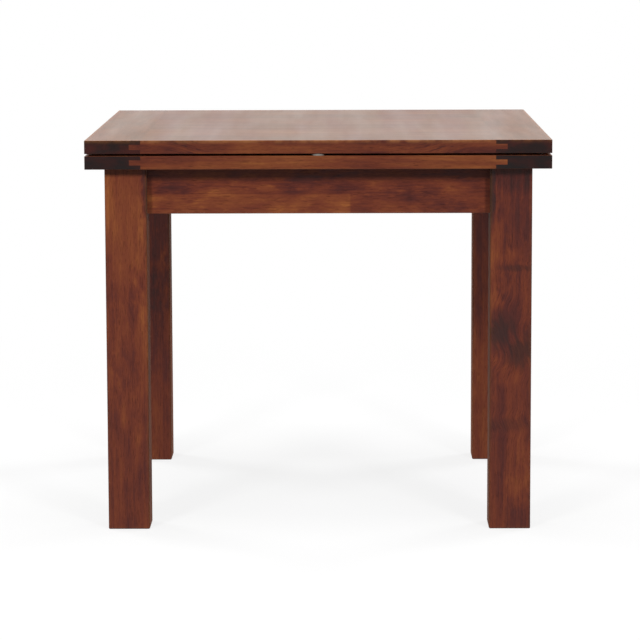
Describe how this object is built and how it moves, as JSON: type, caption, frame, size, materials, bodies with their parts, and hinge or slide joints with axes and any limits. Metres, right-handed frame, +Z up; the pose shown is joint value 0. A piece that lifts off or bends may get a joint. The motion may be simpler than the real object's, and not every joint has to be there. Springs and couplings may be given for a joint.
{
  "type": "flip-top extending dining table",
  "caption": "Square wooden dining table whose stacked leaves slide sideways on the base and fold open on butt hinges to double its length.",
  "frame": {"origin": "on the floor, under the middle of the closed top", "axes": "+Z up; +X to the right, towards the hinged edge, so the top slides along -X; -Y towards the front"},
  "size_m": [0.9029, 0.9, 0.768],
  "materials": {
    "leg_wood": "stained chestnut brown, satin lacquer",
    "apron_wood": "stained chestnut brown, satin lacquer",
    "lower_board_wood": "stained chestnut brown, satin lacquer",
    "upper_board_wood": "stained chestnut brown, satin lacquer",
    "end_board_wood": "stained chestnut brown, darker end grain, satin lacquer",
    "frame_wood": "planed, unstained, dull",
    "fastener_steel": "zinc plated",
    "glide_nylon": "smooth, milky",
    "bumper_rubber": "soft, pale grey",
    "hinge_brass": "satin, lightly worn"
  },
  "bodies": {
    "base": {"leg_front_left": "leg_wood", "leg_front_right": "leg_wood", "leg_rear_left": "leg_wood", "leg_rear_right": "leg_wood", "apron_front": "apron_wood", "apron_rear": "apron_wood", "apron_left": "apron_wood", "apron_right": "apron_wood", "corner_block_front_left": "frame_wood", "corner_block_front_right": "frame_wood", "corner_block_rear_left": "frame_wood", "corner_block_rear_right": "frame_wood", "guide_rail_front": "frame_wood", "guide_rail_rear": "frame_wood", "leg_bolts": "fastener_steel", "leg_bolt_washers": "fastener_steel", "leg_bolt_nuts": "fastener_steel", "corner_block_screws": "fastener_steel", "guide_rail_screws": "fastener_steel", "glide_strips": "glide_nylon"},
    "lower_leaf": {"lower_leaf_board_1": "lower_board_wood", "lower_leaf_board_2": "lower_board_wood", "lower_leaf_board_3": "lower_board_wood", "lower_leaf_board_4": "lower_board_wood", "lower_leaf_board_5": "lower_board_wood", "lower_leaf_board_6": "lower_board_wood", "lower_leaf_end_left": "end_board_wood", "lower_leaf_end_right": "end_board_wood", "runner_front": "frame_wood", "runner_rear": "frame_wood", "keeper_front": "frame_wood", "keeper_rear": "frame_wood", "runner_screws": "fastener_steel", "leaf_bumpers": "bumper_rubber", "lower_hinge_plates": "hinge_brass", "hinge_pins": "hinge_brass", "lower_hinge_screws": "hinge_brass"},
    "upper_leaf": {"upper_leaf_board_1": "upper_board_wood", "upper_leaf_board_2": "upper_board_wood", "upper_leaf_board_3": "upper_board_wood", "upper_leaf_board_4": "upper_board_wood", "upper_leaf_board_5": "upper_board_wood", "upper_leaf_board_6": "upper_board_wood", "upper_leaf_end_left": "end_board_wood", "upper_leaf_end_right": "end_board_wood", "upper_hinge_plates": "hinge_brass", "upper_hinge_screws": "hinge_brass"}
  },
  "joints": [
    {"name": "top_slide", "type": "slide", "parent": "base", "child": "lower_leaf", "axis": [-1, 0, 0], "range_m": [0, 0.45]},
    {"name": "leaf_fold", "type": "hinge", "parent": "lower_leaf", "child": "upper_leaf", "pos_m": [0.45025, 0, 0.74], "axis": [0, 1, 0], "range_deg": [0, 180]}
  ]
}
